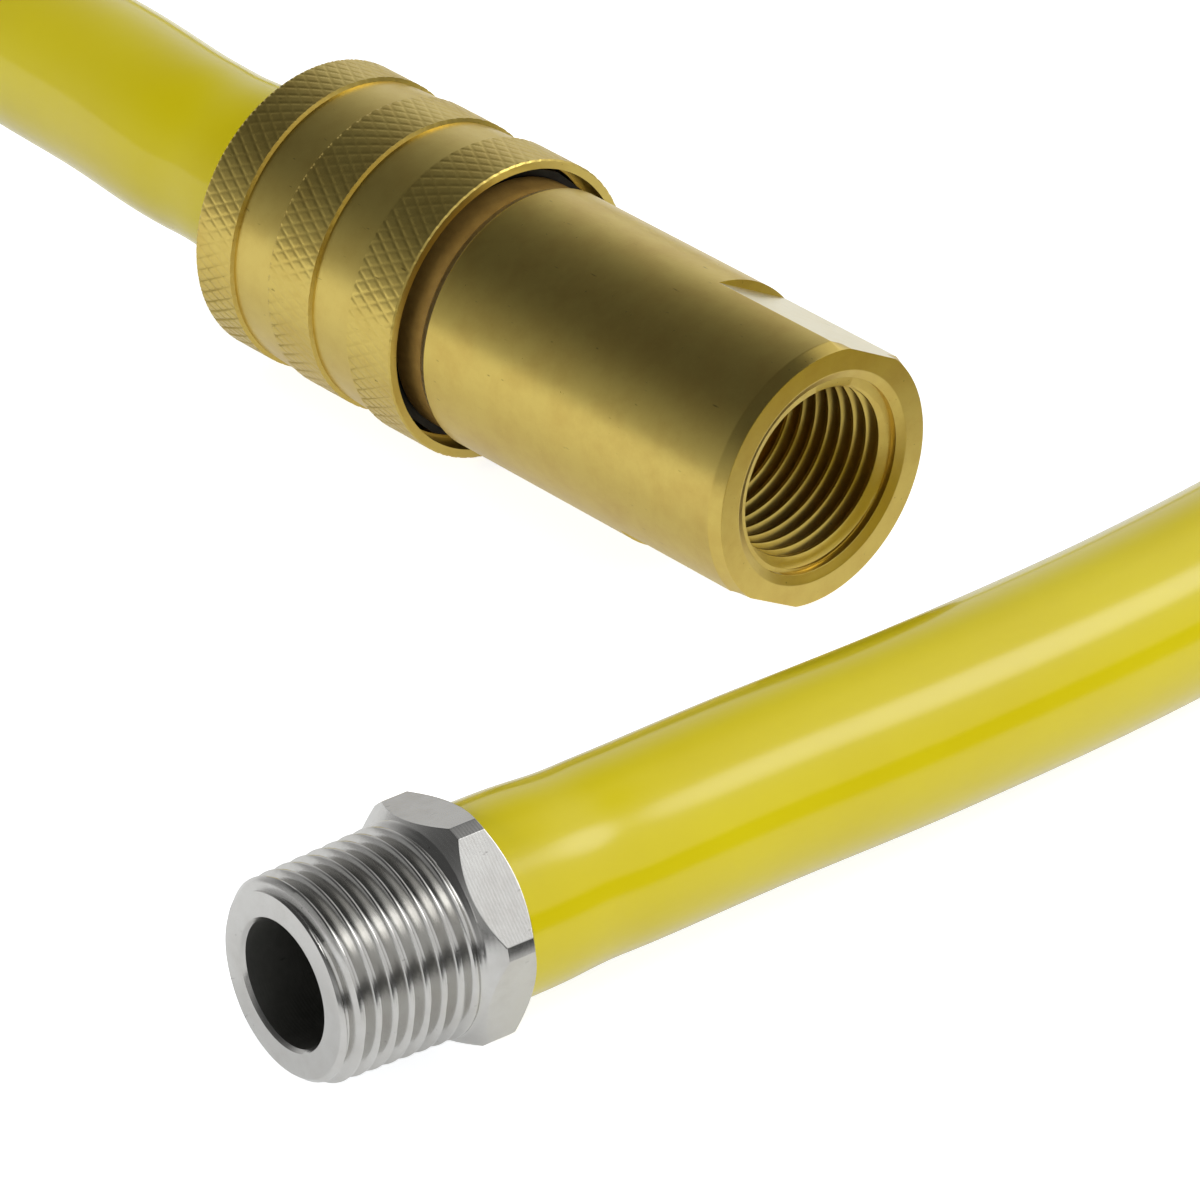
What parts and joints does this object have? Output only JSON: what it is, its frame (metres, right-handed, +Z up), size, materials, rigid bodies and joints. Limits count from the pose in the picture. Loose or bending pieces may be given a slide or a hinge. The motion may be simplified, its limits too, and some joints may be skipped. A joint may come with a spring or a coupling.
{
  "type": "flexible gas hose",
  "caption": "Yellow covered flexible gas hose lying in a loop, with a male threaded steel end and a brass quick release coupling with a knurled sleeve and a threaded socket.",
  "frame": {"origin": "on the floor, under the middle of the box around the two end fittings", "axes": "+Z up from the floor; +Y from the open ends toward the back of the hose loop; +X to the right as seen from the open ends"},
  "size_m": [0.2561, 0.3437, 0.033],
  "materials": {
    "yellow_cover": "glossy, slightly translucent soft vinyl",
    "stainless_steel": "turned, polished stainless steel",
    "crimp_steel": "plain pressed steel",
    "brass_body": "satin turned brass with handling stains",
    "brass_sleeve": "knurled and turned brass",
    "brass_plug": "turned brass",
    "spring_steel": "bright spring steel",
    "black_rubber": "matte nitrile rubber"
  },
  "bodies": {
    "hose": {"gas_hose": "yellow_cover", "threaded_nipple": "stainless_steel", "nipple_ferrule": "crimp_steel", "plug_ferrule": "crimp_steel", "coupling_plug": "brass_plug"},
    "socket": {"socket_body": "brass_body", "plug_seal_ring": "black_rubber", "sleeve_stop_ring": "spring_steel", "valve_poppet": "brass_plug", "valve_seal": "black_rubber", "valve_spring": "spring_steel", "valve_spring_retainer": "brass_plug", "retainer_snap_ring": "spring_steel"},
    "sleeve_turn": {"sleeve_spring_washer": "spring_steel", "sleeve_spring": "spring_steel"},
    "sleeve": {"release_sleeve": "brass_sleeve"},
    "ball_1": {"locking_ball_1": "spring_steel"},
    "ball_2": {"locking_ball_2": "spring_steel"},
    "ball_3": {"locking_ball_3": "spring_steel"},
    "ball_4": {"locking_ball_4": "spring_steel"},
    "ball_5": {"locking_ball_5": "spring_steel"},
    "ball_6": {"locking_ball_6": "spring_steel"}
  },
  "joints": [
    {"name": "socket_swivel", "type": "hinge", "parent": "hose", "child": "socket", "pos_m": [0.02803, 0.01016, 0.0165], "axis": [-0.6797, 0.7335, 0], "continuous": true},
    {"name": "sleeve_spin", "type": "hinge", "parent": "socket", "child": "sleeve_turn", "pos_m": [0.02803, 0.01016, 0.0165], "axis": [-0.6797, 0.7335, 0], "continuous": true},
    {"name": "sleeve_slide", "type": "slide", "parent": "sleeve_turn", "child": "sleeve", "axis": [0.6797, -0.7335, 0], "range_m": [0, 0.005], "stiffness_N_per_m": 1000, "springref_m": -0.006, "deforming": ["sleeve_spring"]},
    {"name": "ball_1_lift", "type": "slide", "parent": "socket", "child": "ball_1", "axis": [-0.7335, -0.6797, 0], "range_m": [0, 0.001]},
    {"name": "ball_2_lift", "type": "slide", "parent": "socket", "child": "ball_2", "axis": [-0.3667, -0.3398, 0.866], "range_m": [0, 0.001]},
    {"name": "ball_3_lift", "type": "slide", "parent": "socket", "child": "ball_3", "axis": [0.3667, 0.3398, 0.866], "range_m": [0, 0.001]},
    {"name": "ball_4_lift", "type": "slide", "parent": "socket", "child": "ball_4", "axis": [0.7335, 0.6797, 0], "range_m": [0, 0.001]},
    {"name": "ball_5_lift", "type": "slide", "parent": "socket", "child": "ball_5", "axis": [0.3667, 0.3398, -0.866], "range_m": [0, 0.001]},
    {"name": "ball_6_lift", "type": "slide", "parent": "socket", "child": "ball_6", "axis": [-0.3667, -0.3398, -0.866], "range_m": [0, 0.001]}
  ],
  "couplings": [
    {"joint": "ball_1_lift", "follows": "sleeve_slide", "ratio": 0.2},
    {"joint": "ball_2_lift", "follows": "sleeve_slide", "ratio": 0.2},
    {"joint": "ball_3_lift", "follows": "sleeve_slide", "ratio": 0.2},
    {"joint": "ball_4_lift", "follows": "sleeve_slide", "ratio": 0.2},
    {"joint": "ball_5_lift", "follows": "sleeve_slide", "ratio": 0.2},
    {"joint": "ball_6_lift", "follows": "sleeve_slide", "ratio": 0.2}
  ]
}
